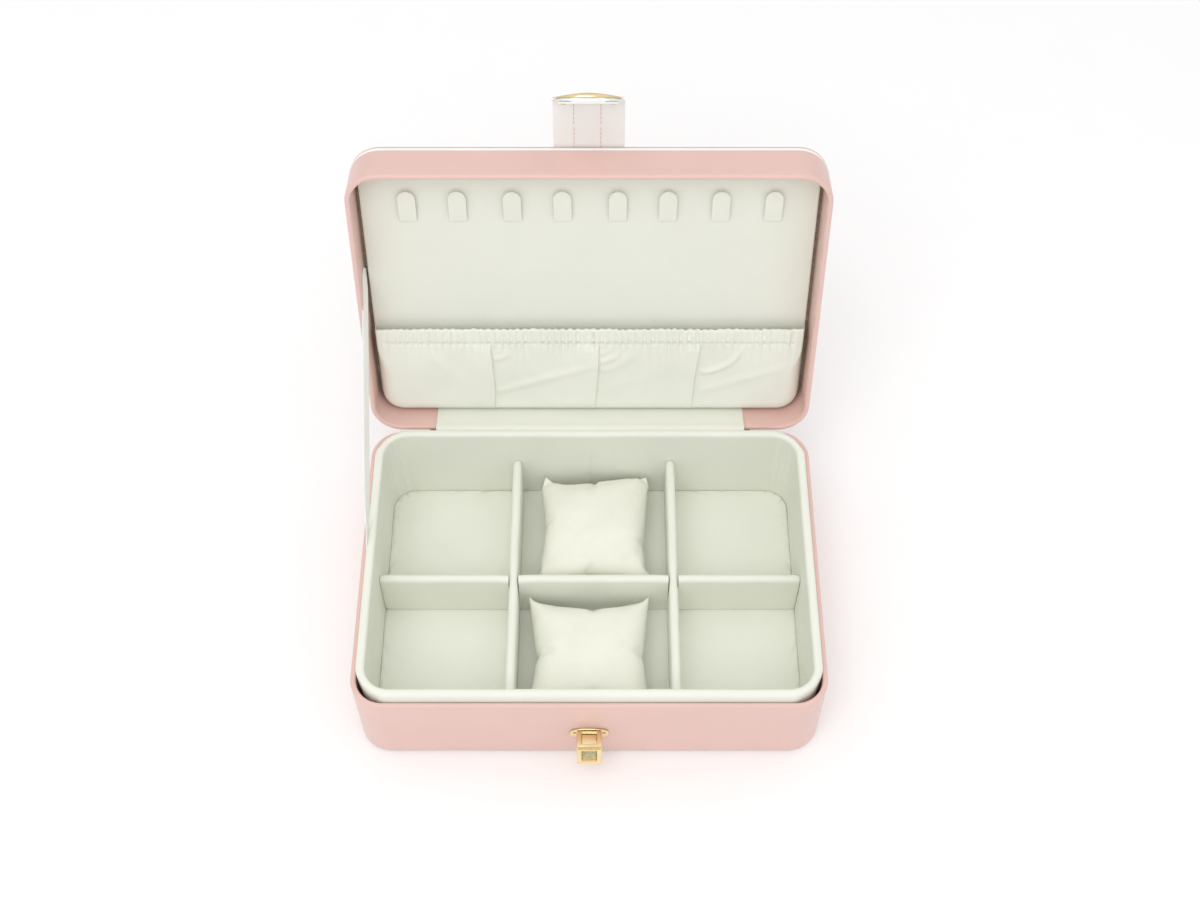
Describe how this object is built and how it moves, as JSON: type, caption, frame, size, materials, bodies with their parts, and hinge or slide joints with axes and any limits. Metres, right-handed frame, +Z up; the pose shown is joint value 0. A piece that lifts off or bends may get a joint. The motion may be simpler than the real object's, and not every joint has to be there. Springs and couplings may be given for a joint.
{
  "type": "jewelry box",
  "caption": "Leather-covered jewelry box with a lined hinged lid, strap clasp and press latch, divided compartments, loose watch pillows, necklace tongues and a lid pocket.",
  "frame": {"origin": "middle of the flat bottom that the box stands on", "axes": "+Z up, +X to the right of a person facing the latch, -Y the latch side"},
  "size_m": [0.26, 0.2748, 0.2892],
  "materials": {
    "base_frame_board": "raw grey board",
    "base_leather_wrap": "soft satin pink, fine grain",
    "base_bottom_board": "raw grey board",
    "base_bottom_cover": "soft satin pink, fine grain",
    "base_liner": "matt off-white, fine grain",
    "base_floor_pad": "matt off-white, fine grain",
    "divider_left": "matt off-white, fine grain",
    "divider_right": "matt off-white, fine grain",
    "divider_cross": "matt off-white, fine grain",
    "latch_base_plate": "polished pale gold plating",
    "latch_body": "polished pale gold plating",
    "latch_rivet_left": "polished pale gold plating",
    "latch_rivet_right": "polished pale gold plating",
    "latch_back_plate": "plain zinc",
    "latch_spring": "plain zinc",
    "hinge_strip_base": "soft satin pink, fine grain",
    "hinge_flap_base": "matt off-white, fine grain",
    "ribbon_stay": "white satin ribbon",
    "latch_button": "polished pale gold plating",
    "watch_pillow_back": "short velvet pile",
    "watch_pillow_front": "short velvet pile",
    "lid_frame_board": "raw grey board",
    "lid_leather_wrap": "soft satin pink, fine grain",
    "lid_top_panel": "soft satin pink, fine grain",
    "lid_piping": "smooth white",
    "lid_lining_panel": "matt off-white, fine grain",
    "lid_lining_foam": "white foam sheet",
    "necklace_tab_1": "matt off-white, fine grain",
    "necklace_tab_2": "matt off-white, fine grain",
    "necklace_tab_3": "matt off-white, fine grain",
    "necklace_tab_4": "matt off-white, fine grain",
    "necklace_tab_5": "matt off-white, fine grain",
    "necklace_tab_6": "matt off-white, fine grain",
    "necklace_tab_7": "matt off-white, fine grain",
    "necklace_tab_8": "matt off-white, fine grain",
    "lid_pocket": "soft off-white cloth",
    "pocket_elastic": "woven white elastic",
    "hinge_strip_lid": "soft satin pink, fine grain",
    "hinge_flap_lid": "matt off-white, fine grain",
    "lid_strap": "smooth white",
    "strap_tab": "smooth white",
    "strap_end": "smooth white",
    "clasp_plate": "polished pale gold plating",
    "clasp_back_plate": "polished pale gold plating",
    "clasp_rivet_left": "polished pale gold plating",
    "clasp_rivet_right": "polished pale gold plating"
  },
  "bodies": {
    "base": {"base_frame_board": "base_frame_board", "base_leather_wrap": "base_leather_wrap", "base_bottom_board": "base_bottom_board", "base_bottom_cover": "base_bottom_cover", "base_liner": "base_liner", "base_floor_pad": "base_floor_pad", "divider_left": "divider_left", "divider_right": "divider_right", "divider_cross": "divider_cross", "latch_base_plate": "latch_base_plate", "latch_body": "latch_body", "latch_rivet_left": "latch_rivet_left", "latch_rivet_right": "latch_rivet_right", "latch_back_plate": "latch_back_plate", "latch_spring": "latch_spring", "hinge_strip_base": "hinge_strip_base", "hinge_flap_base": "hinge_flap_base", "ribbon_stay": "ribbon_stay"},
    "button": {"latch_button": "latch_button"},
    "pillow_back": {"watch_pillow_back": "watch_pillow_back"},
    "pillow_front": {"watch_pillow_front": "watch_pillow_front"},
    "lid": {"lid_frame_board": "lid_frame_board", "lid_leather_wrap": "lid_leather_wrap", "lid_top_panel": "lid_top_panel", "lid_piping": "lid_piping", "lid_lining_panel": "lid_lining_panel", "lid_lining_foam": "lid_lining_foam", "necklace_tab_1": "necklace_tab_1", "necklace_tab_2": "necklace_tab_2", "necklace_tab_3": "necklace_tab_3", "necklace_tab_4": "necklace_tab_4", "necklace_tab_5": "necklace_tab_5", "necklace_tab_6": "necklace_tab_6", "necklace_tab_7": "necklace_tab_7", "necklace_tab_8": "necklace_tab_8", "lid_pocket": "lid_pocket", "pocket_elastic": "pocket_elastic", "hinge_strip_lid": "hinge_strip_lid", "hinge_flap_lid": "hinge_flap_lid", "lid_strap": "lid_strap"},
    "strap": {"strap_tab": "strap_tab"},
    "clasp": {"strap_end": "strap_end", "clasp_plate": "clasp_plate", "clasp_back_plate": "clasp_back_plate", "clasp_rivet_left": "clasp_rivet_left", "clasp_rivet_right": "clasp_rivet_right"}
  },
  "joints": [
    {"name": "lid_hinge", "type": "hinge", "parent": "base", "child": "lid", "pos_m": [0, 0.09, 0.06], "axis": [1, 0, 0], "range_deg": [0, 103.3], "deforming": ["ribbon_stay"]},
    {"name": "strap_fold", "type": "hinge", "parent": "lid", "child": "strap", "pos_m": [0, 0.15825, 0.22919], "axis": [1, 0, 0], "range_deg": [0, 90]},
    {"name": "clasp_fold", "type": "hinge", "parent": "strap", "child": "clasp", "pos_m": [0, 0.16761, 0.254], "axis": [1, 0, 0], "range_deg": [-59, 0]},
    {"name": "latch_button_press", "type": "slide", "parent": "base", "child": "button", "axis": [0, 1, 0], "range_m": [0, 0.002], "stiffness_N_per_m": 400, "springref_m": -0.002, "deforming": ["latch_spring"]},
    {"name": "pillow_back_lift", "type": "slide", "parent": "base", "child": "pillow_back", "axis": [0, 0, -1], "range_m": [-0.06, 0]},
    {"name": "pillow_front_lift", "type": "slide", "parent": "base", "child": "pillow_front", "axis": [0, 0, -1], "range_m": [-0.06, 0]}
  ],
  "couplings": [
    {"joint": "clasp_fold", "follows": "strap_fold", "ratio": -0.65556}
  ]
}
